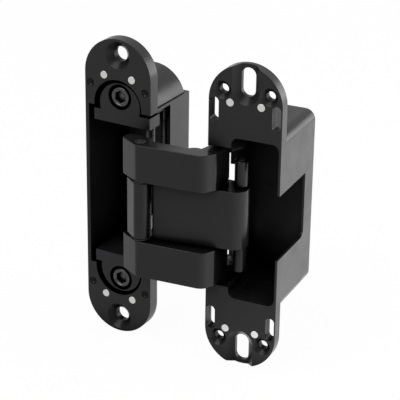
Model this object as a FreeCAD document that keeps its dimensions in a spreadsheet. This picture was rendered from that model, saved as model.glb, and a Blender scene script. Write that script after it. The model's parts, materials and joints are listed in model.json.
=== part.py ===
# Concealed door hinge: two pocketed leaves joined by crossed arms that fold into the pockets.
# Row frame: the origin is the middle of the frame leaf's plate, on its front face.
# +X points to the door leaf, +Y into the frame, +Z up. Lengths are in millimetres.
import FreeCAD
import Part
import math
import os
from types import SimpleNamespace

SIZES = {
    # plates of both leaves, with full-round ends
    "plate_width": 32.0,
    "plate_height": 134.5,
    "frame_plate_thick": 5.8,
    "door_plate_thick": 5.0,
    # frame leaf: casting, recesses and side openings
    "case_width": 31.6,
    "case_wall": 1.2,
    "side_wall": 1.5,
    "shell_width": 30.4,
    "shell_inset": 18.35,
    "shell_step": 2.3,
    "recess_radius": 11.5,
    "recess_inset": 29.25,
    "recess_floor": 1.2,
    "frame_side_cut": 16.4,
    "arm_notch_depth": 27.0,
    "arm_notch_half": 8.0,
    "frame_screw_inset": 6.95,
    "frame_screw_bore": 6.5,
    "frame_screw_rim": 12.0,
    "dimple_x": 13.3,
    "dimple_inset": 21.05,
    "dimple_bore": 3.4,
    "dimple_depth": 2.2,
    # small round magnets for the cover caps
    "magnet_x": 6.75,
    "magnet_inset": 16.55,
    "magnet_bore": 3.4,
    "magnet_thick": 2.0,
    # adjusting carriage inside the frame leaf
    "core_inset": 36.95,
    "cheek_thick": 5.1,
    "cheek_room": 1.4,
    "block_radius": 9.8,
    "block_shift": 1.1,
    "block_lift": 0.5,
    "block_left": 11.6,
    "block_right": 15.6,
    "block_depth": 8.0,
    "bridge_room": 1.1,
    "bridge_thick": 2.6,
    "carriage_slack": 0.3,
    "counterbore": 11.2,
    "counterbore_depth": 2.8,
    "clamp_offset": 3.8,
    "clamp_head": 8.4,
    "clamp_head_thick": 2.6,
    "clamp_shank": 5.0,
    "clamp_gap": 0.1,
    "clamp_length": 14.0,
    "clamp_hex": 5.0,
    "clamp_hex_depth": 1.8,
    "slot_travel": 1.1,
    "slot_gap": 0.3,
    "nut_flats": 8.0,
    "nut_thick": 5.0,
    # linkage pins, seen from above at rest
    "frame_pivot_x": 10.5,
    "frame_pivot_y": 22.6,
    "front_pin_x": 17.6,
    "front_pin_y": -11.0,
    "centre_pin_x": 35.1,
    "centre_pin_y": 3.4,
    "slide_pin_x": 11.3,
    "slide_pin_y": 7.8,
    "roller_pin_x": 56.9,
    "roller_pin_y": 4.1,
    "door_pivot_x": -10.8,
    "door_pivot_y": 16.2,
    "slide_track_left": 9.9,
    "slide_track_right": 12.5,
    "slide_track_front": 5.6,
    "slide_track_rear": 11.3,
    "slide_track_gap": 0.3,
    "slide_pin_reach": 4.0,
    "slide_slot_reach": 4.5,
    "pin_diameter": 5.0,
    "centre_pin_diameter": 6.0,
    "slide_pin_diameter": 4.0,
    "roller_pin_diameter": 3.6,
    "pin_stand": 0.3,
    "pin_cover": 1.5,
    "running_gap": 0.05,
    "seat_gap": 0.02,
    "bush_wall": 1.0,
    # arms: heights are counted from the middle of the hinge
    "middle_half": 13.0,
    "web_half": 6.0,
    "web_width": 6.6,
    "column_half": 12.6,
    "fork_inner": 6.5,
    "fork_eye": 3.7,
    "outer_bottom": 13.5,
    "arm_room": 0.6,
    "tail_height": 4.1,
    "lobe_inset": 5.7,
    "roller_bottom": 13.3,
    "roller_room": 0.6,
    "roller_radius": 2.8,
    "middle_left": 22.2,
    "middle_front": -10.1,
    "knuckle_x": 55.0,
    "knuckle_y": 2.6,
    "middle_knuckle": 6.0,
    "pivot_knuckle": 4.5,
    "tail_knuckle": 4.2,
    "middle_lobe": 5.0,
    "outer_lobe": 4.7,
    "washer_radius": 4.2,
    "washer_thick": 0.5,
    "washer_gap": 0.2,
    # door leaf
    "door_centre_x": 60.495,
    "door_centre_y": -0.816,
    "door_turn": 4.887,
    "door_depth": 37.0,
    "door_case_rim": 3.2,
    "door_case_corner": 4.5,
    "door_back_wall": 1.2,
    "mouth_left": 5.8,
    "mouth_right": 15.0,
    "mouth_inset": 31.25,
    "mouth_corner": 3.0,
    "side_room": 1.6,
    "door_side_cut": 23.5,
    "door_notch_depth": 28.0,
    "door_notch_half": 14.0,
    "window_top": 14.2,
    "window_bottom": 14.7,
    "window_depth": 28.0,
    "window_corner": 3.0,
    "slot_inner_inset": 10.75,
    "slot_outer_inset": 4.75,
    "slot_width": 6.2,
    "slot_rim": 12.0,
    "side_hole_x": 10.1,
    "side_hole_inset": 11.65,
    "side_hole_bore": 4.0,
    "side_hole_rim": 7.8,
    "edge_slot_x": 13.5,
    "edge_slot_inset": 20.35,
    "edge_slot_width": 3.8,
    "edge_slot_length": 10.5,
}


class Size:
    """A length with its formula in the sheet's sizes: arithmetic keeps both in step."""

    def __init__(self, value, formula):
        self.value = value
        self.formula = formula

    def __float__(self):
        return float(self.value)

    def __neg__(self):
        return Size(-self.value, f"-({self.formula})")

    def __add__(self, other):
        return Size(self.value + float(other), f"({self.formula} + {formula_of(other)})")

    def __sub__(self, other):
        return Size(self.value - float(other), f"({self.formula} - {formula_of(other)})")

    def __rsub__(self, other):
        return Size(float(other) - self.value, f"({formula_of(other)} - {self.formula})")

    def __mul__(self, other):
        return Size(self.value * float(other), f"({self.formula} * {formula_of(other)})")

    def __truediv__(self, other):
        return Size(self.value / float(other), f"({self.formula} / {formula_of(other)})")

    __radd__ = __add__
    __rmul__ = __mul__


def formula_of(value):
    return value.formula if isinstance(value, Size) else str(value)


doc = FreeCAD.newDocument("ConcealedHinge")
sheet = doc.addObject("Spreadsheet::Sheet", "Sizes")
for row, (alias, value) in enumerate(SIZES.items(), start=1):
    sheet.set(f"A{row}", alias)
    sheet.set(f"B{row}", str(value))
    sheet.setAlias(f"B{row}", alias)
doc.recompute()
v = SimpleNamespace(**{alias: Size(value, f"Sizes.{alias}") for alias, value in SIZES.items()})

parts = []
THROUGH = 1.0
LEVELS = ((1, "upper"), (-1, "lower"))
HANDS = ((-1, "left"), (1, "right"))
ALONG_Y = FreeCAD.Rotation(FreeCAD.Vector(1, 0, 0), -90)
ALONG_Z = FreeCAD.Rotation()


def spot(x, y, z=0):
    return FreeCAD.Vector(float(x), float(y), float(z))


def bind(item, **sizes):
    """Ties properties of one object to formulas of the sheet's sizes."""
    for prop, value in sizes.items():
        item.setExpression(prop, formula_of(value))
    return item


def place(item, x, y, z, turn=ALONG_Z):
    item.Placement = FreeCAD.Placement(spot(x, y, z), turn)
    return item


def ordered(first, second):
    return (first, second) if float(first) < float(second) else (second, first)


def box(name, x, y, z):
    """A block between two bounds along each axis."""
    item = doc.addObject("Part::Box", name)
    (x0, x1), (y0, y1), (z0, z1) = ordered(*x), ordered(*y), ordered(*z)
    bind(item, Length=x1 - x0, Width=y1 - y0, Height=z1 - z0)
    return place(item, x0, y0, z0)


def rod(name, x, y, z, radius, height, turn=ALONG_Z):
    """A cylinder that starts at a point and runs along Z, or along Y when turned."""
    item = doc.addObject("Part::Cylinder", name)
    bind(item, Radius=radius, Height=height)
    return place(item, x, y, z, turn)


def pillar(name, centre, low, top, radius):
    """A vertical cylinder between two heights, given in either order."""
    z0, z1 = ordered(low, top)
    return rod(name, centre[0], centre[1], z0, radius, z1 - z0)


def cone(name, x, z, rim, bore):
    """A 90 degree countersink that opens at a plate's front face, y = 0."""
    item = doc.addObject("Part::Cone", name)
    bind(item, Radius1=rim / 2, Radius2=bore / 2, Height=(rim - bore) / 2)
    return place(item, x, 0, z, ALONG_Y)


def hexagon(name, x, y, z, flats, height):
    """A hexagonal prism along Y, measured across its flats."""
    item = doc.addObject("Part::Prism", name)
    item.Polygon = 6
    bind(item, Circumradius=flats / (2 * math.cos(math.pi / 6)), Height=height)
    return place(item, x, y, z, ALONG_Y)


def fuse(name, items):
    item = doc.addObject("Part::MultiFuse", name)
    item.Shapes = items
    item.Refine = True
    return item


def cut(name, base, tools):
    item = doc.addObject("Part::Cut", name)
    item.Base = base
    item.Tool = tools[0] if len(tools) == 1 else fuse(name + "_tools", tools)
    item.Refine = True
    return item


def corner_edges(points):
    """Straight edges and tangent arcs round a closed outline of (x, y, corner radius)."""
    edges = []
    starts = []
    ends = []
    count = len(points)
    for k in range(count):
        here = spot(*points[k][:2])
        before = spot(*points[k - 1][:2])
        after = spot(*points[(k + 1) % count][:2])
        radius = float(points[k][2])
        back = (before - here).normalize()
        ahead = (after - here).normalize()
        if radius <= 0:
            starts.append(here)
            ends.append(here)
            continue
        half = back.getAngle(ahead) / 2
        reach = radius / math.tan(half)
        first = here + back * reach
        last = here + ahead * reach
        bisector = (back + ahead).normalize()
        middle = here + bisector * (radius / math.sin(half) - radius)
        edges.append(Part.Arc(first, middle, last))
        starts.append(first)
        ends.append(last)
    for k in range(count):
        first = ends[k]
        last = starts[(k + 1) % count]
        if first.distanceToPoint(last) > 1e-6:
            edges.append(Part.LineSegment(first, last))
    return edges


def prism(name, points, low, height, plane="XY_Plane"):
    """A padded sketch of an outline, from the offset low along the plane's normal."""
    body = doc.addObject("PartDesign::Body", name)
    sketch = body.newObject("Sketcher::SketchObject", name + "_outline")
    base = [f for f in body.Origin.OriginFeatures if f.Role == plane][0]
    sketch.AttachmentSupport = [(base, "")]
    sketch.MapMode = "FlatFace"
    sketch.AttachmentOffset = FreeCAD.Placement(spot(0, 0, low), ALONG_Z)
    sketch.addGeometry(corner_edges(points), False)
    pad = body.newObject("PartDesign::Pad", name + "_pad")
    pad.Profile = sketch
    bind(pad, Length=height)
    return body


def keep(item, label, turn=None):
    """Names a finished sub-part and lists it for export."""
    item.Label = label
    if turn is not None:
        item.Placement = turn.multiply(item.Placement)
    parts.append(item)
    return item


def seated(radius):
    return radius + v.seat_gap


def running(radius):
    return radius + v.running_gap


def sleeve(label, centre, low, top, outer, inner):
    """A plain ring between two heights: a bush, washer or roller."""
    outside = pillar(label + "_outside", centre, low, top, outer)
    inside = pillar(label + "_inside", centre, low, top, inner)
    return keep(cut(label + "_body", outside, [inside]), label)


DOOR = FreeCAD.Placement(
    spot(v.door_centre_x, v.door_centre_y),
    FreeCAD.Rotation(FreeCAD.Vector(0, 0, 1), float(v.door_turn)),
)
frame_pivot = (v.frame_pivot_x, v.frame_pivot_y)
front_pin = (v.front_pin_x, v.front_pin_y)
centre_pin = (v.centre_pin_x, v.centre_pin_y)
slide_pin = (v.slide_pin_x, v.slide_pin_y)
roller_pin = (v.roller_pin_x, v.roller_pin_y)
knuckle = (v.knuckle_x, v.knuckle_y)
door_spot = DOOR.multVec(spot(v.door_pivot_x, v.door_pivot_y))
door_pivot = (door_spot.x, door_spot.y)
pin = v.pin_diameter / 2
thick_pin = v.centre_pin_diameter / 2
thin_pin = v.slide_pin_diameter / 2
guide_pin = v.roller_pin_diameter / 2

plate_round = v.plate_width / 2
half_height = v.plate_height / 2
case_half = v.case_width / 2
inner_half = case_half - v.side_wall
recess_z = half_height - v.recess_inset
cheek_inner = half_height - v.core_inset
cheek_outer = cheek_inner + v.cheek_thick
hollow_half = cheek_outer + v.cheek_room
outer_top = cheek_inner - v.arm_room
tail_bottom = outer_top - v.tail_height
roller_top = tail_bottom - v.roller_room
lobe_top = outer_top - v.lobe_inset
bridge_front = v.frame_pivot_y + v.pivot_knuckle + v.bridge_room
bridge_back = bridge_front + v.bridge_thick
frame_depth = bridge_back + v.carriage_slack + v.case_wall
shell_depth = frame_depth - v.shell_step


def stadium(name, y, width, height, depth):
    """A plate with full-round ends, from y backwards."""
    reach = (height - width) / 2
    ends = [
        rod(f"{name}_end_{high}", 0, y, level * reach, width / 2, depth, ALONG_Y)
        for level, high in LEVELS
    ]
    middle = box(name + "_middle", (-width / 2, width / 2), (y, y + depth), (-reach, reach))
    return fuse(name, ends + [middle])


def magnet_places():
    z = half_height - v.magnet_inset
    return [
        (side * v.magnet_x, level * z, f"{high}_{hand}")
        for level, high in LEVELS
        for side, hand in HANDS
    ]


def magnet_pockets(name):
    return [
        rod(f"{name}_{tag}", x, 0, z, seated(v.magnet_bore / 2), v.magnet_thick, ALONG_Y)
        for x, z, tag in magnet_places()
    ]


# Frame leaf: one casting, open at the front and, up to a set depth, on its right side
plate = stadium("frame_plate", 0, v.plate_width, v.plate_height, v.frame_plate_thick)
shell = stadium(
    "frame_shell", v.frame_plate_thick, v.shell_width, v.plate_height - 2 * v.shell_inset,
    shell_depth - v.frame_plate_thick,
)
walls = box(
    "frame_walls", (-case_half, case_half), (v.frame_plate_thick - THROUGH, frame_depth),
    (-hollow_half - v.case_wall, hollow_half + v.case_wall),
)
side_band = (inner_half - THROUGH, plate_round + THROUGH)
hollows = [
    box(
        "frame_hollow", (-inner_half, inner_half), (-THROUGH, frame_depth - v.case_wall),
        (-hollow_half, hollow_half),
    ),
    box(
        "frame_side_opening", side_band, (-THROUGH, v.frame_side_cut), (-hollow_half, hollow_half)
    ),
    box(
        "frame_arm_notch", side_band, (-THROUGH, v.arm_notch_depth),
        (-v.arm_notch_half, v.arm_notch_half),
    ),
]
shell_centre = half_height - v.shell_inset - v.shell_width / 2
clamp_z = recess_z + v.clamp_offset
clamp_slot = v.clamp_shank / 2 + v.slot_gap
for level, high in LEVELS:
    hollows.append(
        rod(
            f"frame_shell_hollow_{high}", 0, v.frame_plate_thick, level * shell_centre,
            v.shell_width / 2 - v.case_wall, shell_depth - v.case_wall - v.frame_plate_thick,
            ALONG_Y,
        )
    )
    hollows.append(
        rod(
            f"frame_recess_{high}", 0, -THROUGH, level * recess_z, v.recess_radius,
            v.frame_plate_thick - v.recess_floor + THROUGH, ALONG_Y,
        )
    )
    for end, which in ((-1, "low"), (1, "top")):
        hollows.append(
            rod(
                f"clamp_slot_{high}_{which}", v.block_shift, 0,
                level * clamp_z + end * v.slot_travel, clamp_slot,
                v.frame_plate_thick + THROUGH, ALONG_Y,
            )
        )
    hollows.append(
        box(
            f"clamp_slot_{high}_middle", (v.block_shift - clamp_slot, v.block_shift + clamp_slot),
            (0, v.frame_plate_thick + THROUGH),
            (level * clamp_z - v.slot_travel, level * clamp_z + v.slot_travel),
        )
    )
    screw_z = level * (half_height - v.frame_screw_inset)
    hollows.append(
        rod(
            f"frame_screw_hole_{high}", 0, -THROUGH, screw_z, v.frame_screw_bore / 2,
            v.frame_plate_thick + 2 * THROUGH, ALONG_Y,
        )
    )
    hollows.append(
        cone(f"frame_countersink_{high}", 0, screw_z, v.frame_screw_rim, v.frame_screw_bore)
    )
    for side, hand in HANDS:
        hollows.append(
            rod(
                f"frame_dimple_{high}_{hand}", side * v.dimple_x, 0,
                level * (half_height - v.dimple_inset), v.dimple_bore / 2, v.dimple_depth, ALONG_Y,
            )
        )
hollows += magnet_pockets("frame_magnet_pocket")
keep(cut("frame_case_body", fuse("frame_solid", [plate, shell, walls]), hollows), "frame_case")

# Carriage: two D-shaped clamp blocks, cheeks that hold the pins, and a bridge at the back
cheek_span = (-v.block_left, inner_half - v.carriage_slack)
disc_depth = v.frame_plate_thick - v.recess_floor - v.carriage_slack
carriage_pieces = [
    box("bridge", cheek_span, (bridge_front, bridge_back), (-cheek_outer, cheek_outer))
]
carriage_cuts = [
    pillar("frame_pivot_bore", frame_pivot, -half_height, half_height, seated(pin)),
]
for level, high in LEVELS:
    disc = rod(
        f"block_disc_{high}", v.block_shift, 0, level * recess_z + v.block_lift,
        v.block_radius, disc_depth, ALONG_Y,
    )
    inside = box(
        f"block_trim_{high}", (-plate_round, plate_round), (-THROUGH, v.block_depth),
        (-cheek_inner, cheek_inner),
    )
    cheek_z = (level * cheek_inner, level * cheek_outer)
    carriage_pieces += [
        cut(f"block_round_{high}", disc, [inside]),
        box(f"block_{high}", (-v.block_left, v.block_right), (0, v.block_depth), cheek_z),
        box(f"cheek_{high}", cheek_span, (0, bridge_back), cheek_z),
    ]
    screw_z = level * clamp_z + v.block_lift
    carriage_cuts += [
        rod(
            f"counterbore_{high}", v.block_shift, 0, screw_z, v.counterbore / 2,
            v.counterbore_depth, ALONG_Y,
        ),
        rod(
            f"clamp_hole_{high}", v.block_shift, 0, screw_z, v.clamp_shank / 2 + v.clamp_gap,
            v.frame_plate_thick, ALONG_Y,
        ),
        box(
            f"slide_slot_{high}",
            (
                v.slide_track_left - thin_pin - v.slide_track_gap,
                v.slide_track_right + thin_pin + v.slide_track_gap,
            ),
            (
                v.slide_track_front - thin_pin - v.slide_track_gap,
                v.slide_track_rear + thin_pin + v.slide_track_gap,
            ),
            (level * cheek_inner, level * (cheek_inner + v.slide_slot_reach)),
        ),
    ]
carriage_solid = fuse("carriage_solid", carriage_pieces)
keep(cut("carriage_body", carriage_solid, carriage_cuts), "carriage")

head_front = v.counterbore_depth - v.clamp_head_thick
for level, high in LEVELS:
    screw_z = level * clamp_z + v.block_lift
    head = rod(
        f"clamp_head_{high}", v.block_shift, head_front, screw_z, v.clamp_head / 2,
        v.clamp_head_thick, ALONG_Y,
    )
    shank = rod(
        f"clamp_shank_{high}", v.block_shift, head_front, screw_z, v.clamp_shank / 2,
        v.clamp_length, ALONG_Y,
    )
    socket = hexagon(
        f"clamp_socket_{high}", v.block_shift, head_front, screw_z, v.clamp_hex, v.clamp_hex_depth
    )
    keep(
        cut(f"clamp_body_{high}", fuse(f"clamp_solid_{high}", [head, shank]), [socket]),
        f"clamp_screw_{high}",
    )
    nut = hexagon(
        f"nut_block_{high}", v.block_shift, v.frame_plate_thick + v.carriage_slack, screw_z,
        v.nut_flats, v.nut_thick,
    )
    hole = rod(
        f"nut_hole_{high}", v.block_shift, v.frame_plate_thick, screw_z,
        seated(v.clamp_shank / 2), v.nut_thick + THROUGH, ALONG_Y,
    )
    keep(cut(f"nut_body_{high}", nut, [hole]), f"clamp_nut_{high}")

pivot_half = cheek_outer - v.pin_stand
keep(pillar("frame_pivot_pin_body", frame_pivot, -pivot_half, pivot_half, pin), "frame_pivot_pin")

# Middle arm: wide front plate, end knuckle, lobe for the centre pin and a narrow web
to_knuckle = spot(v.knuckle_x - v.middle_left, v.knuckle_y - v.middle_front)
slope = math.atan2(to_knuckle.y, to_knuckle.x)
slope -= math.asin(float(v.middle_knuckle) / to_knuckle.Length)
middle_outline = [
    (v.middle_left, v.middle_front, 1.0),
    (
        v.knuckle_x + v.middle_knuckle * math.sin(slope),
        v.knuckle_y - v.middle_knuckle * math.cos(slope),
        0,
    ),
    (v.knuckle_x, v.knuckle_y + v.middle_knuckle, 0),
    (v.centre_pin_x, v.centre_pin_y + v.middle_lobe, 0),
    (v.centre_pin_x - v.middle_lobe, v.centre_pin_y, 2.0),
    (v.middle_left + 1.0, v.middle_front + 4.6, 1.0),
]
middle_z = (-v.middle_half, v.middle_half)
web_z = (-v.web_half, v.web_half)


def web(name, start, end, width, low, top):
    """A straight web of even width between two pin centres."""
    z0, z1 = ordered(low, top)
    along = (spot(*end) - spot(*start)).normalize()
    across = FreeCAD.Vector(-along.y, along.x, 0) * (float(width) / 2)
    points = [
        (start[0] - across.x, start[1] - across.y, 0),
        (end[0] - across.x, end[1] - across.y, 0),
        (end[0] + across.x, end[1] + across.y, 0),
        (start[0] + across.x, start[1] + across.y, 0),
    ]
    return prism(name, points, z0, z1 - z0)


middle_pieces = [
    prism("middle_plate", middle_outline, -v.middle_half, 2 * v.middle_half),
    pillar("middle_knuckle_round", knuckle, *middle_z, v.middle_knuckle),
    pillar("middle_lobe_round", centre_pin, *middle_z, v.middle_lobe),
    pillar("middle_pivot_round", frame_pivot, *web_z, v.pivot_knuckle),
    web("middle_web", frame_pivot, centre_pin, v.web_width, *web_z),
]
middle_bores = [
    pillar("middle_roller_bore", roller_pin, *middle_z, seated(guide_pin)),
    pillar("middle_centre_bore", centre_pin, *middle_z, seated(thick_pin + v.bush_wall)),
    pillar("middle_pivot_bore", frame_pivot, *web_z, seated(pin + v.bush_wall)),
]
keep(cut("middle_arm_body", fuse("middle_solid", middle_pieces), middle_bores), "middle_arm")
sleeve("frame_pivot_bush", frame_pivot, *web_z, pin + v.bush_wall, running(pin))
sleeve("centre_bush", centre_pin, *middle_z, thick_pin + v.bush_wall, running(thick_pin))
roller_half = roller_top + v.pin_stand
keep(pillar("roller_pin_body", roller_pin, -roller_half, roller_half, guide_pin), "roller_pin")
for level, high in LEVELS:
    sleeve(
        f"guide_roller_{high}", roller_pin, level * v.roller_bottom, level * roller_top,
        v.roller_radius, running(guide_pin),
    )

# Outer arms: a bar across the front that turns back, a nose and a stepped tail to the door leaf
bar_outline = [
    (8.2, -9.7, 1.6),
    (18.2, -15.2, 3.0),
    (48.0, -11.8, 5.0),
    (50.8, -6.0, 2.0),
    (50.2, 2.0, 2.0),
    (49.0, 9.0, 1.5),
    (43.2, 9.0, 1.0),
    (43.6, 0.0, 4.0),
    (42.4, -6.2, 2.0),
    (22.8, -7.8, 1.5),
    (19.4, -5.2, 1.5),
    (9.2, -4.8, 1.6),
]
tail_outline = [
    (43.3, 3.0, 0),
    (49.8, 3.0, 0),
    (50.2, 8.0, 2.0),
    (door_pivot[0] + 3.6, door_pivot[1] - 2.0, 0),
    (door_pivot[0] - 3.4, door_pivot[1] + 2.4, 0),
    (43.1, 9.0, 1.0),
]
lobe_outline = [
    (v.centre_pin_x - v.outer_lobe, -9.0, 0),
    (v.centre_pin_x + v.outer_lobe, -9.0, 0),
    (v.centre_pin_x + v.outer_lobe, v.centre_pin_y, 0),
    (v.centre_pin_x - v.outer_lobe, v.centre_pin_y, 0),
]
lobe_height = lobe_top - v.outer_bottom
outer_pieces = [
    prism("outer_bar", bar_outline, v.outer_bottom, outer_top - v.outer_bottom),
    prism("outer_tail", tail_outline, tail_bottom, v.tail_height),
    prism("outer_lobe", lobe_outline, v.outer_bottom, lobe_height),
    pillar("outer_lobe_round", centre_pin, v.outer_bottom, lobe_top, v.outer_lobe),
    pillar("outer_tail_round", door_pivot, tail_bottom, outer_top, v.tail_knuckle),
]
outer_bores = [
    pillar("outer_front_bore", front_pin, 0, half_height, seated(pin)),
    pillar(
        "outer_centre_bore", centre_pin, v.outer_bottom, lobe_top - v.pin_cover, seated(thick_pin)
    ),
    pillar("outer_tail_bore", door_pivot, tail_bottom, outer_top, seated(pin + v.bush_wall)),
]
upper_arm = cut("outer_arm_body", fuse("outer_solid", outer_pieces), outer_bores)
keep(upper_arm, "outer_arm_upper")
lower_arm = doc.addObject("Part::Mirroring", "outer_arm_mirror")
lower_arm.Source = upper_arm
lower_arm.Normal = FreeCAD.Vector(0, 0, 1)
keep(lower_arm, "outer_arm_lower")
front_half = outer_top + v.pin_stand
keep(pillar("front_pin_body", front_pin, -front_half, front_half, pin), "front_pin")
centre_half = lobe_top - v.pin_cover - v.washer_gap
keep(pillar("centre_pin_body", centre_pin, -centre_half, centre_half, thick_pin), "centre_pin")
washer_z = v.column_half + v.washer_gap
for level, high in LEVELS:
    sleeve(
        f"door_pivot_bush_{high}", door_pivot, level * tail_bottom, level * outer_top,
        pin + v.bush_wall, running(pin),
    )
    sleeve(
        f"thrust_washer_{high}", front_pin, level * washer_z,
        level * (washer_z + v.washer_thick), v.washer_radius, seated(pin),
    )

# Column link: a barrel on the front pin with a fork that reaches back to the slide pins
column_outline = [
    (10.6, -10.1, 1.2),
    (17.6, -15.3, 2.6),
    (22.2, -13.6, 2.6),
    (22.0, -9.0, 2.0),
    (20.0, -6.8, 1.5),
    (11.6, -5.6, 1.2),
]
column_z = (-v.column_half, v.column_half)
column_pieces = [prism("column_barrel", column_outline, -v.column_half, 2 * v.column_half)]
for level, high in LEVELS:
    fork_z = (level * v.fork_inner, level * v.column_half)
    column_pieces.append(web(f"column_fork_{high}", slide_pin, front_pin, v.web_width, *fork_z))
    column_pieces.append(pillar(f"column_eye_{high}", slide_pin, *fork_z, v.fork_eye))
column_bores = [
    pillar("column_bore", front_pin, *column_z, running(pin)),
    pillar("column_eye_bore", slide_pin, *column_z, seated(thin_pin)),
]
keep(cut("column_link_body", fuse("column_solid", column_pieces), column_bores), "column_link")
for level, high in LEVELS:
    keep(
        pillar(
            f"slide_pin_body_{high}", slide_pin, level * v.fork_inner,
            level * (cheek_inner + v.slide_pin_reach), thin_pin,
        ),
        f"slide_pin_{high}",
    )

# Door leaf: thinner plate, box-shaped case, open at the front, part of the left and a side window
mouth_half = half_height - v.mouth_inset
door_half = mouth_half + v.door_case_rim
side_half = outer_top + v.side_room
door_plate = stadium("door_plate", 0, v.plate_width, v.plate_height, v.door_plate_thick)
case_outline = [
    (side * plate_round, level * door_half, v.door_case_corner)
    for side, level in ((-1, -1), (1, -1), (1, 1), (-1, 1))
]
door_box = prism("door_box", case_outline, -v.door_depth, v.door_depth - THROUGH, "XZ_Plane")
mouth_outline = [
    (-v.mouth_left, -mouth_half, v.mouth_corner),
    (v.mouth_right, -mouth_half, v.mouth_corner),
    (v.mouth_right, mouth_half, v.mouth_corner),
    (-v.mouth_left, mouth_half, v.mouth_corner),
    (-v.mouth_left, side_half, 0),
    (-inner_half, side_half, v.mouth_corner),
    (-inner_half, -side_half, v.mouth_corner),
    (-v.mouth_left, -side_half, 0),
]
mouth = prism(
    "door_mouth", mouth_outline, v.door_back_wall - v.door_depth, v.door_depth, "XZ_Plane"
)
relief_outline = [
    (-plate_round - 3.0, 1.0 - side_half, 0),
    (3.0 - inner_half, -side_half, 0),
    (3.0 - inner_half, side_half, 0),
    (-plate_round - 3.0, side_half - 1.0, 0),
]
left_relief = prism(
    "door_left_relief", relief_outline, -v.door_side_cut, v.door_side_cut + THROUGH, "XZ_Plane"
)
left_notch = box(
    "door_left_notch", (-plate_round - THROUGH, 3.0 - inner_half), (0, v.door_notch_depth),
    (-v.door_notch_half, v.door_notch_half),
)
window_outline = [
    (-THROUGH, -v.window_bottom, 0),
    (v.window_depth, -v.window_bottom, v.window_corner),
    (v.window_depth, v.window_top, 0.4),
    (-THROUGH, v.window_top, 0),
]
window = prism(
    "door_window", window_outline, v.mouth_right - THROUGH, v.case_wall + 3 * THROUGH, "YZ_Plane"
)
door_cuts = [mouth, left_relief, left_notch, window]
through_depth = v.door_plate_thick + 2 * THROUGH
rim_half = v.slot_rim / 2
bore_half = v.slot_width / 2
rim_depth = rim_half - bore_half
slot_inner = half_height - v.slot_inner_inset
slot_outer = half_height - v.slot_outer_inset
channel_outline = [
    (-rim_half, 0, 0),
    (rim_half, 0, 0),
    (bore_half, rim_depth, 0),
    (-bore_half, rim_depth, 0),
]
edge_half = v.edge_slot_width / 2
edge_reach = (v.edge_slot_length - v.edge_slot_width) / 2
for level, high in LEVELS:
    for where, slot_z in (("inner", slot_inner), ("outer", slot_outer)):
        door_cuts.append(
            rod(
                f"main_slot_{where}_{high}", 0, -THROUGH, level * slot_z, bore_half,
                through_depth, ALONG_Y,
            )
        )
    door_cuts.append(
        box(
            f"main_slot_middle_{high}", (-bore_half, bore_half),
            (-THROUGH, v.door_plate_thick + THROUGH), (level * slot_inner, level * slot_outer),
        )
    )
    door_cuts.append(
        cone(f"main_rim_{high}", 0, level * slot_inner, v.slot_rim, v.slot_width)
    )
    channel_low = slot_inner if level > 0 else -half_height - THROUGH
    door_cuts.append(
        prism(
            f"rim_channel_{high}", channel_outline, channel_low,
            half_height + THROUGH - slot_inner,
        )
    )
    for side, hand in HANDS:
        hole_x = side * v.side_hole_x
        hole_z = level * (half_height - v.side_hole_inset)
        door_cuts.append(
            rod(
                f"side_hole_{high}_{hand}", hole_x, -THROUGH, hole_z, v.side_hole_bore / 2,
                through_depth, ALONG_Y,
            )
        )
        door_cuts.append(
            cone(f"side_rim_{high}_{hand}", hole_x, hole_z, v.side_hole_rim, v.side_hole_bore)
        )
        slot_x = side * v.edge_slot_x
        slot_z = level * (half_height - v.edge_slot_inset)
        for end, which in ((-1, "low"), (1, "top")):
            door_cuts.append(
                rod(
                    f"edge_slot_{high}_{hand}_{which}", slot_x, -THROUGH,
                    slot_z + end * edge_reach, edge_half, through_depth, ALONG_Y,
                )
            )
        door_cuts.append(
            box(
                f"edge_slot_{high}_{hand}_middle", (slot_x - edge_half, slot_x + edge_half),
                (-THROUGH, v.door_plate_thick + THROUGH),
                (slot_z - edge_reach, slot_z + edge_reach),
            )
        )
    door_cuts.append(
        pillar(
            f"door_pivot_hole_{high}", (v.door_pivot_x, v.door_pivot_y),
            level * outer_top, level * (mouth_half + THROUGH), seated(pin),
        )
    )
door_cuts += magnet_pockets("door_magnet_pocket")
keep(cut("door_case_body", fuse("door_solid", [door_plate, door_box]), door_cuts), "door_case", DOOR)
for level, high in LEVELS:
    keep(
        pillar(
            f"door_pivot_pin_body_{high}", (v.door_pivot_x, v.door_pivot_y),
            level * tail_bottom, level * mouth_half, pin,
        ),
        f"door_pivot_pin_{high}", DOOR,
    )

for leaf, turn in (("frame", None), ("door", DOOR)):
    for x, z, tag in magnet_places():
        keep(
            rod(f"{leaf}_magnet_body_{tag}", x, 0, z, v.magnet_bore / 2, v.magnet_thick, ALONG_Y),
            f"{leaf}_magnet_{tag}", turn,
        )

doc.recompute()
for item in doc.Objects:
    faults = [word for word in item.State if word in ("Invalid", "Error")]
    if faults:
        raise RuntimeError(f"{item.Name} did not build: {faults}")
for item in parts:
    if item.Shape.isNull() or not item.Shape.isValid():
        raise RuntimeError(f"{item.Label} has no valid shape")
os.makedirs("parts", exist_ok=True)
for item in parts:
    item.Shape.exportStep(f"parts/{item.Label}.step")
    print(item.Label, len(item.Shape.Solids), round(item.Shape.Volume, 1))
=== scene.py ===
import json
import math

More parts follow.
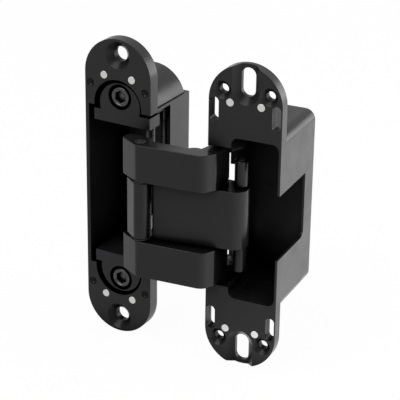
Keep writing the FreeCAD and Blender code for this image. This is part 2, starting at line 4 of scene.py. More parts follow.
import bpy
from bpy.props import FloatProperty, FloatVectorProperty, PointerProperty
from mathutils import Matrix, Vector

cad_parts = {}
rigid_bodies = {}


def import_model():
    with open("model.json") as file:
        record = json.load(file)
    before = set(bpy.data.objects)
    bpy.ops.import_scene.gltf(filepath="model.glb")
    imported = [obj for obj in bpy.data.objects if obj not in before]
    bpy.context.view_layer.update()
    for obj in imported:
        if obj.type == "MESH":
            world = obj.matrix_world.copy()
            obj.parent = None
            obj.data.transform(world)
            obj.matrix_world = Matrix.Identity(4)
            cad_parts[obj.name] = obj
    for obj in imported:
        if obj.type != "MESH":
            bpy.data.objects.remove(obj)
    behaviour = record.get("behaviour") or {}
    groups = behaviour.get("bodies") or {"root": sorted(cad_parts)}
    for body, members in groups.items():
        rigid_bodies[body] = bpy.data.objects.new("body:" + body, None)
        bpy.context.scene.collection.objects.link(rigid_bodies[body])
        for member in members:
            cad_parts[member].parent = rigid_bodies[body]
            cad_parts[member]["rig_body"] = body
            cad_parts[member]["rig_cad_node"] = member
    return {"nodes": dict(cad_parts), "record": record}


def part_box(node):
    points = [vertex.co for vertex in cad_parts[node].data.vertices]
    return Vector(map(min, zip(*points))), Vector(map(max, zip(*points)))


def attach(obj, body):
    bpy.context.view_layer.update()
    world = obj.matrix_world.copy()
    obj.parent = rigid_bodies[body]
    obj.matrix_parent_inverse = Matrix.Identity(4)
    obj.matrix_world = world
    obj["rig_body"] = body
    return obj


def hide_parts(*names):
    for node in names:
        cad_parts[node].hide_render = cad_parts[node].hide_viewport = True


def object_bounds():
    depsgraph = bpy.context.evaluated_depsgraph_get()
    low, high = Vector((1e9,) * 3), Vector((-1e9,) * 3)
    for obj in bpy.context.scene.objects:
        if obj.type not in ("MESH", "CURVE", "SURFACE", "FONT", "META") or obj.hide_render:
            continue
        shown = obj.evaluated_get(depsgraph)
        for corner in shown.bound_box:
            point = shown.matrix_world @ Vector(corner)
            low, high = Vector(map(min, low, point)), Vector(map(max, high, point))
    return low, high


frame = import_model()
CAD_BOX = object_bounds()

bl_info = {
    "name": "Concealed Door Hinge",
    "version": (1, 0, 0),
    "blender": (4, 5, 0),
    "location": "3D Viewport > Sidebar > Hinge",
    "description": "Finishes a three way adjustable concealed door hinge over its packed parts",
    "category": "Object",
}

MM = 0.001
ENDS = ("upper", "lower")
HANDS = ("left", "right")

# Merging, rounding and shading of the pieces
MERGE_DISTANCE = 0.001 * MM
FLAT_ANGLE = math.radians(0.4)
SHARP_ANGLE = math.radians(32)
SMOOTH_ANGLE = math.radians(38)
ROUND_SIDES = 64
EDGE_SEGMENTS = 3
PIN_SEGMENTS = 2
TIGHT_REACH = 2.2
ACROSS = 0.8
END_FACING = 0.9
FLAT_FACING = 0.99

# Lathe centre of a pin's end, as shares of its radius
CENTRE_INSET = 0.55
CENTRE_WIDTH = 0.2
CENTRE_DEPTH = 0.22

# Clamp screw: sizes, then shares of the head's radius, of its height and of the shank's radius
HEAD_RADIUS = 4.2 * MM
HEAD_HEIGHT = 2.6 * MM
HEX_WIDTH = 5.0 * MM
THREAD_PITCH = 0.8 * MM
HEAD_CHAMFER = 0.09
RING_INSET = 0.07
RING_WIDTH = 0.06
RING_DEPTH = 0.05
SHANK_SHARE = 0.6
SOCKET_SHARE = 0.75
THREAD_SHARE = 0.13

# The frame plate's dimples: their floors by depth and area, and the drill points' shape
DIMPLE_DEPTHS = (0.3 * MM, 2.5 * MM)
DIMPLE_AREAS = (8.2 * MM * MM, 9.6 * MM * MM)
DIMPLE_RAISE = 1.8 * MM
DIMPLE_POINT = 1.3 * MM

# Name of each material slot's finish, and the property that holds its colour
SLOT_FINISHES = {
    "case": ("powder_coated_zinc_case", "coat"),
    "carriage": ("powder_coated_carriage", "carriage_coat"),
    "arm": ("satin_coated_arm", "arm_coat"),
    "pin": ("black_oxide_turned_steel", "oxide"),
    "screw": ("black_oxide_socket_screw", "screw"),
    "magnet": ("nickel_plated_magnet", "nickel"),
    "bush": ("moulded_black_acetal", "acetal"),
}
COATS = {
    "case": {"grain": 0.5, "smooth": 0.26, "rough": 0.36, "bump": 0.1, "gleam": 0.3},
    "carriage": {"grain": 0.5, "smooth": 0.3, "rough": 0.4, "bump": 0.12, "gleam": 0.3},
    "arm": {"grain": 1.2, "smooth": 0.2, "rough": 0.28, "bump": 0.03, "gleam": 0.34},
}
# Each steel's reach is the distance over which its recesses get painted shade.
STEELS = {
    "pin": {"pitch": 0.35, "rough": 0.3, "reach": 9 * MM},
    "screw": {"pitch": 0.5, "rough": 0.24, "reach": 2.5 * MM},
}
BLACK = (0, 0, 0, 1)
WHITE = (1, 1, 1, 1)
NOISE_SPREAD = (0.3, 0.7)
PAINTED_SHADE_SAMPLES = 8

# Camera fitted to the holes and edges of both plates, in the row frame
CAMERA_PLACE = (0.34941, -0.54840, 0.28190)
CAMERA_TURN = (66.236, -0.754, 29.763)
CAMERA_LENS = 149.8
CAMERA_SENSOR = 36.0
CAMERA_CLIP = (0.01, 20)

# Studio, in metres from the hinge's middle
BRIGHT_SIDE = (0.5, 0.86, 0.0)
BRIGHT_BLEND = 0.9
FLOOR_SIZE = 8
FLOOR_DROP = 0.3 * MM
SOFTBOXES = (
    ("key_softbox", "key_power", (-0.25, -0.75, 0.85), 0.9),
    ("side_softbox", "side_power", (0.95, 0.15, 0.35), 0.7),
    ("back_softbox", "back_power", (0.55, 0.7, 0.12), 0.5),
)


def linear(hex_colour):
    """An sRGB hex colour as linear red, green and blue."""
    channels = [int(hex_colour[k:k + 2], 16) / 255 for k in (1, 3, 5)]
    return tuple(
        c / 12.92 if c <= 0.04045 else ((c + 0.055) / 1.055) ** 2.4 for c in channels
    )


def colour_property(name, description, hex_colour):
    return FloatVectorProperty(
        name=name, description=description, subtype="COLOR", size=3, min=0, max=1,
        default=linear(hex_colour),
    )


def length_property(name, description, millimetres):
    return FloatProperty(
        name=name, description=description, default=millimetres * MM, min=0,
        unit="LENGTH", precision=5,
    )


class HINGE_finish(bpy.types.PropertyGroup):
    """Colours of the hinge's finishes"""

    coat: colour_property("Case coat", "Satin black powder coat of the castings", "#1c1c1d")
    arm_coat: colour_property("Arm coat", "Smoother black coat of the arms", "#171718")
    carriage_coat: colour_property(
        "Carriage coat", "Black coat of the sliding carriage", "#1d1d1f"
    )
    oxide: colour_property("Pin steel", "Black oxide of the ground pins", "#5a5a5c")
    screw: colour_property("Screw steel", "Black oxide of the socket screws", "#5c5c5e")
    nickel: colour_property("Magnet nickel", "Bright nickel plate of the magnets", "#f4f4f2")
    acetal: colour_property("Bush plastic", "Black acetal of the bushes", "#1c1c1d")
    floor: colour_property("Floor", "Pale studio floor", "#f4f4f4")


class HINGE_edges(bpy.types.PropertyGroup):
    """Edge roundings and small turned details"""

    case_edge: length_property("Case edge", "Rounding of the castings' edges", 0.24)
    arm_edge: length_property("Arm edge", "Rounding of the arms' edges", 0.3)
    carriage_edge: length_property("Carriage edge", "Rounding of the carriage's edges", 0.18)
    bush_edge: length_property("Bush edge", "Rounding of the bushes and nuts", 0.12)
    pin_chamfer: length_property("Pin chamfer", "Chamfer at the ends of the pins", 0.45)
    roller_chamfer: length_property("Roller chamfer", "Chamfer at the ends of the rollers", 0.7)
    magnet_edge: length_property("Magnet edge", "Rounding of the magnets' rims", 0.22)


class HINGE_studio(bpy.types.PropertyGroup):
    """Light and floor of the studio"""

    key_power: FloatProperty(
        name="Key light", description="Power of the large soft light over the camera",
        default=7.0, min=0, unit="POWER",
    )
    side_power: FloatProperty(
        name="Side light", description="Power of the soft light on the right",
        default=5.0, min=0, unit="POWER",
    )
    ambient: FloatProperty(
        name="Ambient", description="Strength of the room's even light on matt surfaces",
        default=0.55, min=0, max=2,
    )
    back_power: FloatProperty(
        name="Back light", description="Power of the soft light behind the hinge, on the right",
        default=3.0, min=0, unit="POWER",
    )
    floor_glow: FloatProperty(
        name="Floor glow", description="Share of the floor that shows as plain white",
        default=0.96, min=0, max=1,
    )
    floor_front: FloatProperty(
        name="Floor front", description="Brightness of the mirrored floor before the hinge",
        default=0.6, min=0, max=8,
    )
    floor_back: FloatProperty(
        name="Floor back", description="Brightness of the mirrored floor behind the hinge",
        default=1.6, min=0, max=8,
    )
    room_front: FloatProperty(
        name="Room front", description="Brightness of the mirrored room behind the camera",
        default=0.2, min=0, max=4,
    )
    room_back: FloatProperty(
        name="Room back", description="Brightness of the mirrored room at the back and right",
        default=0.92, min=0, max=4,
    )


def new_material(name):
    material = bpy.data.materials.new(name)
    material.use_nodes = True
    material.node_tree.nodes.clear()
    return material


def add(owner, kind, inputs=None, **settings):
    """Adds one node to a material or world, and sets or links its inputs.

    A mix node's sockets share their names across data types, so they are given by index:
    0, 2 and 3 for numbers, and 0, 6 and 7 for colours.
    """
    tree = owner.node_tree
    node = tree.nodes.new(kind)
    for name, value in settings.items():
        setattr(node, name, value)
    for socket, value in (inputs or {}).items():
        if isinstance(value, bpy.types.NodeSocket):
            tree.links.new(value, node.inputs[socket])
        else:
            node.inputs[socket].default_value = value
    return node


def per_metre(millimetres):
    """Noise scale whose grains are about this size."""
    return 1 / (millimetres * MM)


def rgba(colour, gain=1.0):
    return (colour[0] * gain, colour[1] * gain, colour[2] * gain, 1)


def object_place(material):
    return add(material, "ShaderNodeTexCoord").outputs["Object"]


def noise(material, place, grain, detail, roughness):
    """Noise whose grains are about this many millimetres wide."""
    node = add(
        material, "ShaderNodeTexNoise",
        {"Vector": place, "Scale": per_metre(grain), "Detail": detail,
         "Roughness": roughness},
    )
    return node.outputs["Fac"]


def gloss_over(material, value, smooth, rough):
    """Roughness that goes from smooth to rough over a noise's usual spread."""
    low, high = NOISE_SPREAD
    node = add(
        material, "ShaderNodeMapRange",
        {"Value": value, "From Min": low, "From Max": high, "To Min": smooth,
         "To Max": rough},
    )
    return node.outputs["Result"]


def raised(material, height, strength, millimetres):
    """Normal of a surface whose relief is this deep at full strength."""
    node = add(
        material, "ShaderNodeBump",
        {"Height": height, "Strength": strength, "Distance": millimetres * MM},
    )
    return node.outputs["Normal"]


def mixed(material, share, low, high):
    """Colour that goes from low to high with share."""
    node = add(material, "ShaderNodeMix", {0: share, 6: low, 7: high}, data_type="RGBA")
    return node.outputs[2]


def painted_recess_shade(material, reach, shut, clear, least):
    """Ambient occlusion as a share, from least deep in a recess to 1 on an outer face, used to
    paint shade into recesses.
    """
    sky = add(
        material, "ShaderNodeAmbientOcclusion", {"Distance": reach}, samples=PAINTED_SHADE_SAMPLES
    )
    share = add(
        material, "ShaderNodeMapRange",
        {"Value": sky.outputs["AO"], "From Min": shut, "From Max": clear,
         "To Min": least, "To Max": 1.0},
    )
    return share.outputs["Result"]


def surfaced(material, inputs):
    """Ends a material with a principled surface."""
    surface = add(material, "ShaderNodeBsdfPrincipled", inputs)
    add(material, "ShaderNodeOutputMaterial", {"Surface": surface.outputs["BSDF"]})
    return material


def coated_casting(name, colour, grain, smooth, rough, bump, gleam):
    """Zinc die casting under powder coat: an even black film with a faint orange peel.

    The peel is drawn a little coarser than the real 0.2 mm so that it shows in the render,
    and the gloss drifts over a few millimetres, as it does on a sprayed film. Recesses get
    painted shade: ambient occlusion mixes their colour towards black and lowers their
    specular level, so they look darker and less glossy than outer faces.
    """
    material = new_material(name)
    place = object_place(material)
    peel = noise(material, place, grain, detail=2.0, roughness=0.5)
    drift = noise(material, place, 9.0, detail=3.0, roughness=0.55)
    tone = mixed(material, drift, rgba(colour, 0.86), rgba(colour, 1.16))
    # Painted shade from ambient occlusion: recesses get a lower specular level and a base
    # colour mixed towards black.
    painted_gloss_shade = painted_recess_shade(material, 12 * MM, shut=0.3, clear=0.9, least=0.06)
    specular_under_painted_shade = add(material, "ShaderNodeMath", {0: painted_gloss_shade, 1: gleam}, operation="MULTIPLY")
    painted_shade = painted_recess_shade(material, 18 * MM, shut=0.5, clear=0.97, least=0.06)
    return surfaced(material, {
        "Base Color": mixed(material, painted_shade, BLACK, tone),
        "Roughness": gloss_over(material, drift, smooth, rough),
        "Normal": raised(material, peel, strength=bump, millimetres=0.05),
        "Specular IOR Level": specular_under_painted_shade.outputs[0],
        "IOR": 1.5,
    })


def turned_steel(name, colour, pitch, rough, reach):
    """Black oxide on turned and ground steel: dark, a little metallic, with fine rings."""
    material = new_material(name)
    place = object_place(material)
    rings = add(
        material, "ShaderNodeTexWave",
        {"Vector": place, "Scale": per_metre(pitch) / (2 * math.pi), "Distortion": 0.4,
         "Detail": 2.0},
        wave_type="BANDS", bands_direction="Z",
    )
    patina = noise(material, place, 2.5, detail=4.0, roughness=0.6)
    tone = mixed(material, patina, rgba(colour, 0.8), rgba(colour, 1.2))
    # Painted shade: ambient occlusion mixes the base colour towards black in screw sockets and
    # other recesses of the steel.
    painted_shade = painted_recess_shade(material, reach, shut=0.6, clear=0.96, least=0.0)
    return surfaced(material, {
        "Base Color": mixed(material, painted_shade, BLACK, tone),
        "Metallic": 0.85,
        "Roughness": gloss_over(material, patina, rough - 0.06, rough + 0.08),
        "Normal": raised(material, rings.outputs["Fac"], strength=0.08, millimetres=0.02),
    })


def nickel_plate(name, colour):
    """Bright nickel on a sintered magnet: pale metal with a slightly rough, mottled face."""
    material = new_material(name)
    mottle = noise(material, object_place(material), 0.6, detail=4.0, roughness=0.65)
    return surfaced(material, {
        "Base Color": rgba(colour),
        "Metallic": 1.0,
        "Roughness": gloss_over(material, mottle, smooth=0.32, rough=0.46),
        "Normal": raised(material, mottle, strength=0.06, millimetres=0.03),
    })


def moulded_acetal(name, colour):
    """Acetal, moulded: a waxy black plastic with a very soft surface."""
    material = new_material(name)
    skin = noise(material, object_place(material), 0.5, detail=3.0, roughness=0.5)
    return surfaced(material, {
        "Base Color": rgba(colour),
        "Roughness": gloss_over(material, skin, smooth=0.42, rough=0.55),
        "Normal": raised(material, skin, strength=0.1, millimetres=0.02),
        "IOR": 1.48,
    })


def room_level(owner, direction, away, toward):
    """Brightness of the mirrored room, from away to toward the bright side."""
    unit = add(owner, "ShaderNodeVectorMath", {0: direction}, operation="NORMALIZE")
    facing = add(
        owner, "ShaderNodeVectorMath", {0: unit.outputs["Vector"], 1: BRIGHT_SIDE},
        operation="DOT_PRODUCT",
    )
    level = add(
        owner, "ShaderNodeMapRange",
        {"Value": facing.outputs["Value"], "From Min": -BRIGHT_BLEND,
         "From Max": BRIGHT_BLEND, "To Min": away, "To Max": toward},
    )
    return level.outputs["Result"]


def studio_floor(name, colour, studio):
    """Matt white paper sweep: white to the camera, with a faint soft shadow.

    In the hinge's reflections it glows, dim at the front and bright at the back and right:
    painted light that shows only in glossy rays.
    """
    material = new_material(name)
    rays = add(material, "ShaderNodeLightPath")
    place = object_place(material)
    fibre = noise(material, place, 4.0, detail=2.0, roughness=0.5)
    paper = add(
        material, "ShaderNodeBsdfDiffuse",
        {"Color": rgba(colour), "Normal": raised(material, fibre, 0.04, millimetres=0.1)},
    )
    share = add(
        material, "ShaderNodeMath",
        {0: rays.outputs["Is Camera Ray"], 1: studio.floor_glow}, operation="MULTIPLY",
    )
    white = add(material, "ShaderNodeEmission", {"Color": WHITE, "Strength": 1.0})
    seen = add(
        material, "ShaderNodeMixShader",
        {0: share.outputs[0], 1: paper.outputs[0], 2: white.outputs[0]},
    )
    # Painted reflection light: for glossy rays the floor is an emission, dim at the front and
    # bright at the back and right.
    level = room_level(material, place, studio.floor_front, studio.floor_back)
    mirrored = add(material, "ShaderNodeEmission", {"Color": WHITE, "Strength": level})
    blend = add(
        material, "ShaderNodeMixShader",
        {0: rays.outputs["Is Glossy Ray"], 1: seen.outputs[0], 2: mirrored.outputs[0]},
    )
    add(material, "ShaderNodeOutputMaterial", {"Surface": blend.outputs[0]})
    return material


def finish_of(slot):
    """The finish of one of the record's material slots, made once."""
    name, colour_name = SLOT_FINISHES[slot]
    made = bpy.data.materials.get(name)
    if made:
        return made
    colour = getattr(bpy.context.scene.hinge_finish, colour_name)
    if slot in COATS:
        return coated_casting(name, colour, **COATS[slot])
    if slot in STEELS:
        return turned_steel(name, colour, **STEELS[slot])
    if slot == "magnet":
        return nickel_plate(name, colour)
    return moulded_acetal(name, colour)


def slot_of(node):
    """The material slot that the record gives a CAD node."""
    subparts = frame["record"]["subparts"]
    return next(part["material_slot"] for part in subparts if part["node"] == node)


def body_of(node):
    """The body that the record puts a CAD node in."""
    bodies = frame["record"]["behaviour"]["bodies"]
    return next(body for body, nodes in bodies.items() if node in nodes)


def select_only(piece):
    if bpy.context.object and bpy.context.object.mode != "OBJECT":
        bpy.ops.object.mode_set(mode="OBJECT")
    bpy.ops.object.select_all(action="DESELECT")
    piece.select_set(True)
    bpy.context.view_layer.objects.active = piece


def dress(piece, name, nodes):
    """Names a piece, gives it its finish, and lets it stand for its CAD nodes."""
    piece.name = name
    piece.data.name = name
    piece.data.materials.clear()
    slot = slot_of(nodes[0])
    piece.data.materials.append(finish_of(slot))
    select_only(piece)
    bpy.ops.object.transform_apply(location=True, rotation=True, scale=True)
    bpy.ops.object.shade_smooth_by_angle(angle=SMOOTH_ANGLE)
    shading = piece.modifiers.new("face_weighted_shading", "WEIGHTED_NORMAL")
    shading.weight = 100
    shading.keep_sharp = True
    bpy.ops.object.modifier_apply(modifier=shading.name)
    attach(piece, body_of(nodes[0]))
    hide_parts(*nodes)
    return piece


def leave_tight_corners(mesh, edge):
    """Deselects the edges that meet a corner with no room for a rounding of this size.

    Such a corner has a short edge that runs across a sharp one, or an inner edge.
    """
    around = {}
    for line in mesh.edges:
        for end in line.vertices:
            around.setdefault(end, []).append(line)

    def heading(line, end):
        first, last = line.vertices
        return mesh.vertices[last if first == end else first].co - mesh.vertices[end].co

    sides = {}
    for face in mesh.polygons:
        ring = list(face.vertices)
        for first, last in zip(ring, ring[1:] + ring[:1]):
            sides.setdefault((min(first, last), max(first, last)), []).append(
                (face.normal.copy(), mesh.vertices[last].co - mesh.vertices[first].co)
            )
    tight = set()
    for line in mesh.edges:
        if not line.select:
            continue
        faces = sides.get(tuple(sorted(line.vertices)), [])
        if len(faces) == 2:
            (one, along), (two, _) = faces
            if one.cross(two).dot(along) < 0:
                tight.update(line.vertices)
        for end in line.vertices:
            along = heading(line, end).normalized()
            for other in around[end]:
                reach = heading(other, end)
                across = abs(reach.normalized().dot(along)) < ACROSS
                short = reach.length < TIGHT_REACH * edge
                if other.index != line.index and across and short:
                    tight.add(end)
    for line in mesh.edges:
        if tight.intersection(line.vertices):
            line.select = False


def rounded_copy(node, name, edge, shape=None, roomy=False):
    """A merged copy of a CAD node whose sharp edges are rounded, as a casting's are.

    shape is called on the merged copy before its edges are rounded. A roomy rounding keeps
    its full size and leaves out the corners that are too small for it.
    """
    source = frame["nodes"][node]
    select_only(source)
    bpy.ops.object.duplicate()
    piece = bpy.context.object
    piece.parent = None
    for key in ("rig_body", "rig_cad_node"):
        del piece[key]
    bpy.ops.mesh.customdata_custom_splitnormals_clear()
    bpy.ops.object.mode_set(mode="EDIT")
    bpy.ops.mesh.select_all(action="SELECT")
    bpy.ops.mesh.remove_doubles(threshold=MERGE_DISTANCE)
    bpy.ops.mesh.dissolve_limited(angle_limit=FLAT_ANGLE)
    if shape:
        bpy.ops.object.mode_set(mode="OBJECT")
        shape(piece)
    bpy.ops.mesh.select_all(action="DESELECT")
    bpy.ops.mesh.select_mode(type="EDGE")
    bpy.ops.mesh.edges_select_sharp(sharpness=SHARP_ANGLE)
    if roomy:
        bpy.ops.object.mode_set(mode="OBJECT")
        leave_tight_corners(piece.data, edge)
        bpy.ops.object.mode_set(mode="EDIT")
    bpy.ops.mesh.bevel(
        offset=edge, segments=EDGE_SEGMENTS, affect="EDGES", clamp_overlap=not roomy
    )
    bpy.ops.object.mode_set(mode="OBJECT")
    return dress(piece, name, [node])


def edit_faces(piece, chosen):
    """Enters edit mode with only the faces selected that chosen() accepts."""
    select_only(piece)
    bpy.ops.object.mode_set(mode="EDIT")
    bpy.ops.mesh.select_mode(type="FACE")
    bpy.ops.mesh.select_all(action="DESELECT")
    bpy.ops.object.mode_set(mode="OBJECT")
    for face in piece.data.polygons:
        face.select = chosen(face)
    bpy.ops.object.mode_set(mode="EDIT")


def add_bar(centre, radius, length, sides=ROUND_SIDES, turn=(0, 0, 0)):
    """A plain bar, along Z unless it is turned."""
    bpy.ops.object.select_all(action="DESELECT")
    bpy.ops.mesh.primitive_cylinder_add(
        vertices=sides, radius=radius, depth=length, location=centre, rotation=turn
    )
    return bpy.context.object


def chamfered_bar(node, chamfer, segments):
    """A bar over a CAD node's box, along Z with chamfered ends, left in edit mode."""
    low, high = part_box(node)
    radius = (high.x - low.x) / 2
    piece = add_bar((low + high) / 2, radius, high.z - low.z)
    edit_faces(piece, lambda face: abs(face.normal.z) > END_FACING)
    bpy.ops.mesh.bevel(offset=chamfer, segments=segments, affect="EDGES")
    return piece, radius


def turned_pin(node, name, chamfer):
    """A pin along Z with chamfered ends and a lathe centre at each end."""
    piece, radius = chamfered_bar(node, chamfer, PIN_SEGMENTS)
    edit_faces(piece, lambda face: abs(face.normal.z) > FLAT_FACING)
    bpy.ops.mesh.inset(thickness=radius * CENTRE_INSET)
    bpy.ops.mesh.inset(thickness=radius * CENTRE_WIDTH, depth=-radius * CENTRE_DEPTH)
    bpy.ops.object.mode_set(mode="OBJECT")
    return dress(piece, name, [node])


def subtract(piece, tool):
    """Cuts the tool out of a piece and removes the tool."""
    select_only(piece)
    cutter = piece.modifiers.new("bore", "BOOLEAN")
    cutter.operation = "DIFFERENCE"
    cutter.object = tool
    cutter.solver = "EXACT"
    bpy.ops.object.modifier_apply(modifier=cutter.name)
    bpy.data.objects.remove(tool)


def guide_roller(node, name, chamfer, bore):
    """A barrel with chamfered ends that turns on the roller pin."""
    piece, _ = chamfered_bar(node, chamfer, EDGE_SEGMENTS)
    bpy.ops.object.mode_set(mode="OBJECT")
    low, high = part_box(node)
    subtract(piece, add_bar((low + high) / 2, bore, 2 * (high.z - low.z)))
    return dress(piece, name, [node])


def leaf_magnets(leaf, end, edge):
    """Two nickel discs of a leaf, whose round rims show as thin dark lines."""
    for hand in HANDS:
        rounded_copy(
            f"{leaf}_magnet_{end}_{hand}", f"{leaf}_leaf_magnet_{end}_{hand}", edge
        )


def screw_head(front, turn):
    """The clamp screw's head: chamfered, with a sunk ring round a hex socket."""
    centre = front + Vector((0, HEAD_HEIGHT / 2, 0))
    head = add_bar(centre, HEAD_RADIUS, HEAD_HEIGHT, turn=turn)
    bpy.ops.object.transform_apply(location=True, rotation=True, scale=True)
    edit_faces(head, lambda face: face.normal.y < -END_FACING)
    bpy.ops.mesh.bevel(
        offset=HEAD_CHAMFER * HEAD_RADIUS, segments=EDGE_SEGMENTS, affect="EDGES"
    )
    edit_faces(head, lambda face: face.normal.y < -FLAT_FACING)
    bpy.ops.mesh.inset(thickness=HEAD_RADIUS * RING_INSET)
    bpy.ops.mesh.inset(
        thickness=HEAD_RADIUS * RING_WIDTH, depth=-HEAD_RADIUS * RING_DEPTH
    )
    bpy.ops.object.mode_set(mode="OBJECT")
    socket_depth = SOCKET_SHARE * HEAD_HEIGHT
    hex_radius = HEX_WIDTH / math.sqrt(3)
    subtract(head, add_bar(front, hex_radius, 2 * socket_depth, sides=6, turn=turn))
    return head


def threaded_shank(front, length, turn):
    """The clamp screw's shank behind its head, with the thread drawn as rings."""
    centre = front + Vector((0, HEAD_HEIGHT + length / 2, 0))
    radius = SHANK_SHARE * HEAD_RADIUS
    shank = add_bar(centre, radius, length, sides=ROUND_SIDES // 2, turn=turn)
    bpy.ops.object.transform_apply(location=True, rotation=True, scale=True)
    bpy.ops.object.mode_set(mode="EDIT")
    bpy.ops.mesh.select_mode(type="EDGE")
    bpy.ops.object.mode_set(mode="OBJECT")
    for edge in shank.data.edges:
        ends = [shank.data.vertices[k].co for k in edge.vertices]
        edge.select = abs(ends[0].y - ends[1].y) > 0.5 * length
    turns = int(length / THREAD_PITCH)
    bpy.ops.object.mode_set(mode="EDIT")
    bpy.ops.mesh.subdivide(number_cuts=2 * turns - 1)
    bpy.ops.object.mode_set(mode="OBJECT")
    axis = Vector((front.x, 0, front.z))
    for vertex in shank.data.vertices:
        ring = round((vertex.co.y - front.y - HEAD_HEIGHT) / (THREAD_PITCH / 2))
        if ring % 2 and 0 < ring < 2 * turns:
            out = Vector((vertex.co.x, 0, vertex.co.z)) - axis
            vertex.co -= out * THREAD_SHARE
    return shank


def socket_screw(node, name):
    """A socket head screw along Y: its head in front, and a threaded shank."""
    low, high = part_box(node)
    front = Vector(((low.x + high.x) / 2, low.y, (low.z + high.z) / 2))
    turn = (math.radians(-90), 0, 0)
    head = screw_head(front, turn)
    shank = threaded_shank(front, high.y - low.y - HEAD_HEIGHT, turn)
    select_only(head)
    shank.select_set(True)
    bpy.ops.object.join()
    return dress(head, name, [node])


def point_dimples(piece):
    """Turns the plate's four blind holes into shallow drill points."""
    nearest, deepest = DIMPLE_DEPTHS
    smallest, largest = DIMPLE_AREAS
    edit_faces(
        piece,
        lambda face: face.normal.y < -FLAT_FACING and nearest < face.center.y < deepest
        and smallest < face.area < largest,
    )
    bpy.ops.transform.translate(value=(0, -DIMPLE_RAISE, 0))
    bpy.ops.mesh.poke(offset=-DIMPLE_POINT)


class HINGE_OT_frame_leaf(bpy.types.Operator):
    """Builds the frame leaf's casting and its four magnets"""

    bl_idname = "hinge.frame_leaf"
    bl_label = "Frame leaf"

    def execute(self, context):
        edges = context.scene.hinge_edges
        rounded_copy(
            "frame_case", "frame_leaf_casting", edges.case_edge, shape=point_dimples
        )
        for end in ENDS:
            leaf_magnets("frame", end, edges.magnet_edge)
        return {"FINISHED"}


class HINGE_OT_door_leaf(bpy.types.Operator):
    """Builds the door leaf's casting, its pivot pins and its four magnets"""

    bl_idname = "hinge.door_leaf"
    bl_label = "Door leaf"

    def execute(self, context):
        edges = context.scene.hinge_edges
        rounded_copy("door_case", "door_leaf_casting", edges.case_edge)
        for end in ENDS:
            turned_pin(
                f"door_pivot_pin_{end}", f"door_leaf_pivot_pin_{end}", edges.pin_chamfer
            )
            leaf_magnets("door", end, edges.magnet_edge)
        return {"FINISHED"}


class HINGE_OT_carriage(bpy.types.Operator):
    """Builds the adjusting carriage, its clamp screws and nuts, and the frame pivot pin"""

    bl_idname = "hinge.carriage"
    bl_label = "Adjusting carriage"

    def execute(self, context):
        edges = context.scene.hinge_edges
        rounded_copy("carriage", "adjusting_carriage", edges.carriage_edge)
        for end in ENDS:
            socket_screw(f"clamp_screw_{end}", f"clamp_socket_screw_{end}")
            rounded_copy(f"clamp_nut_{end}", f"clamp_nut_block_{end}", edges.bush_edge)
        turned_pin("frame_pivot_pin", "frame_leaf_pivot_pin", edges.pin_chamfer)
        return {"FINISHED"}


class HINGE_OT_middle_arm(bpy.types.Operator):
    """Builds the middle arm with its bushes, roller pin and guide rollers"""

    bl_idname = "hinge.middle_arm"
    bl_label = "Middle arm"

    def execute(self, context):
        edges = context.scene.hinge_edges
        rounded_copy("middle_arm", "wide_middle_arm", edges.arm_edge, roomy=True)
        for node in ("frame_pivot_bush", "centre_bush"):
            rounded_copy(node, f"{node}_sleeve", edges.bush_edge)
        turned_pin("roller_pin", "guide_roller_pin", edges.pin_chamfer)
        low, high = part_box("roller_pin")
        bore = (high.x - low.x) / 2
        for end in ENDS:
            guide_roller(
                f"guide_roller_{end}", f"guide_barrel_{end}", edges.roller_chamfer, bore
            )
        return {"FINISHED"}


class HINGE_OT_outer_arms(bpy.types.Operator):
    """Builds the two outer arms with their pins, bushes and thrust washers"""

    bl_idname = "hinge.outer_arms"
    bl_label = "Outer arms"

    def execute(self, context):
        edges = context.scene.hinge_edges
        for end in ENDS:
            rounded_copy(
                f"outer_arm_{end}", f"crossed_outer_arm_{end}", edges.arm_edge, roomy=True
            )
            rounded_copy(
                f"door_pivot_bush_{end}", f"door_pivot_sleeve_{end}", edges.bush_edge
            )
            rounded_copy(
                f"thrust_washer_{end}", f"front_thrust_washer_{end}", edges.bush_edge
            )
        turned_pin("front_pin", "front_arm_pin", edges.pin_chamfer)
        turned_pin("centre_pin", "centre_cross_pin", edges.pin_chamfer)
        return {"FINISHED"}


class HINGE_OT_column(bpy.types.Operator):
    """Builds the column link and its slide pins"""

    bl_idname = "hinge.column"
    bl_label = "Column link"

    def execute(self, context):
        edges = context.scene.hinge_edges
        rounded_copy("column_link", "column_guide_link", edges.arm_edge, roomy=True)
        for end in ENDS:
            turned_pin(f"slide_pin_{end}", f"column_slide_pin_{end}", edges.pin_chamfer)
        return {"FINISHED"}


class HINGE_OT_stage(bpy.types.Operator):
    """Builds the pale floor, the soft lights, the world and the camera"""

    bl_idname = "hinge.stage"
    bl_label = "Studio stage"

    def execute(self, context):
        studio = context.scene.hinge_studio
        finish = context.scene.hinge_finish
        low, high = CAD_BOX
        middle = (low + high) / 2
        bpy.ops.object.select_all(action="DESELECT")
        bpy.ops.mesh.primitive_plane_add(
            size=FLOOR_SIZE, location=(middle.x, middle.y, low.z - FLOOR_DROP)
        )
        floor = context.object
        floor.name = "studio_floor"
        floor.data.materials.append(studio_floor("white_paper_sweep", finish.floor, studio))
        for name, power, offset, size in SOFTBOXES:
            soft_light(name, middle, offset, size, getattr(studio, power))
        set_world(context.scene, studio)
        set_camera(context.scene)
        view = context.scene.view_settings
        view.view_transform = "Standard"
        return {"FINISHED"}


def soft_light(name, target, offset, size, power):
    """A square softbox that faces the hinge."""
    place = target + Vector(offset)
    turn = (target - place).to_track_quat("-Z", "Y").to_euler()
    bpy.ops.object.light_add(type="AREA", location=place, rotation=turn)
    lamp = bpy.context.object
    lamp.name = name
    lamp.data.size = size
    lamp.data.energy = power


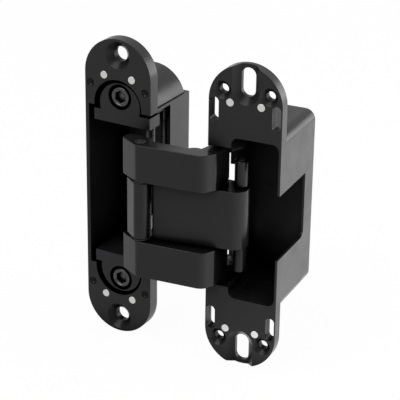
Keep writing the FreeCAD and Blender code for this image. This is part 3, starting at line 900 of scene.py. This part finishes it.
def set_world(scene, studio):
    """White to the camera, an even soft light on matt surfaces, and in the hinge's
    reflections a room that is dim at the front and bright at the back and right."""
    world = bpy.data.worlds.new("white_room")
    scene.world = world
    world.use_nodes = True
    world.node_tree.nodes.clear()
    rays = add(world, "ShaderNodeLightPath")
    direction = add(world, "ShaderNodeTexCoord").outputs["Generated"]
    mirrored = room_level(world, direction, studio.room_front, studio.room_back)
    lit = add(
        world, "ShaderNodeMix",
        {0: rays.outputs["Is Glossy Ray"], 2: studio.ambient, 3: mirrored},
        data_type="FLOAT",
    )
    level = add(
        world, "ShaderNodeMix",
        {0: rays.outputs["Is Camera Ray"], 2: lit.outputs[0], 3: 1.0},
        data_type="FLOAT",
    )
    sky = add(
        world, "ShaderNodeBackground", {"Color": WHITE, "Strength": level.outputs[0]}
    )
    add(world, "ShaderNodeOutputWorld", {"Surface": sky.outputs[0]})


def set_camera(scene):
    """The camera that took the photo, as fitted."""
    turn = [math.radians(angle) for angle in CAMERA_TURN]
    bpy.ops.object.camera_add(location=CAMERA_PLACE, rotation=turn)
    camera = bpy.context.object
    camera.name = "photo_camera"
    camera.data.lens = CAMERA_LENS
    camera.data.sensor_width = CAMERA_SENSOR
    camera.data.clip_start, camera.data.clip_end = CAMERA_CLIP
    scene.camera = camera


OPERATORS = (
    HINGE_OT_frame_leaf,
    HINGE_OT_door_leaf,
    HINGE_OT_carriage,
    HINGE_OT_middle_arm,
    HINGE_OT_outer_arms,
    HINGE_OT_column,
    HINGE_OT_stage,
)


class HINGE_PT_panel(bpy.types.Panel):
    """Sidebar panel with the hinge's pieces, sizes and colours"""

    bl_idname = "HINGE_PT_panel"
    bl_label = "Concealed Door Hinge"
    bl_space_type = "VIEW_3D"
    bl_region_type = "UI"
    bl_category = "Hinge"

    def draw(self, context):
        layout = self.layout
        for operator in OPERATORS:
            layout.operator(operator.bl_idname)
        for group in GROUPS:
            values = getattr(context.scene, group)
            column = layout.column(align=True)
            for name in values.bl_rna.properties.keys():
                if name not in ("name", "rna_type"):
                    column.prop(values, name)


GROUPS = {
    "hinge_finish": HINGE_finish,
    "hinge_edges": HINGE_edges,
    "hinge_studio": HINGE_studio,
}


def register():
    for group in GROUPS.values():
        bpy.utils.register_class(group)
    for name, group in GROUPS.items():
        setattr(bpy.types.Scene, name, PointerProperty(type=group))
    for operator in OPERATORS:
        bpy.utils.register_class(operator)
    bpy.utils.register_class(HINGE_PT_panel)


def unregister():
    bpy.utils.unregister_class(HINGE_PT_panel)
    for operator in reversed(OPERATORS):
        bpy.utils.unregister_class(operator)
    for name, group in GROUPS.items():
        delattr(bpy.types.Scene, name)
        bpy.utils.unregister_class(group)


def main():
    register()
    bpy.ops.hinge.frame_leaf()
    bpy.ops.hinge.door_leaf()
    bpy.ops.hinge.carriage()
    bpy.ops.hinge.middle_arm()
    bpy.ops.hinge.outer_arms()
    bpy.ops.hinge.column()
    bpy.ops.hinge.stage()


if __name__ == "__main__":
    main()
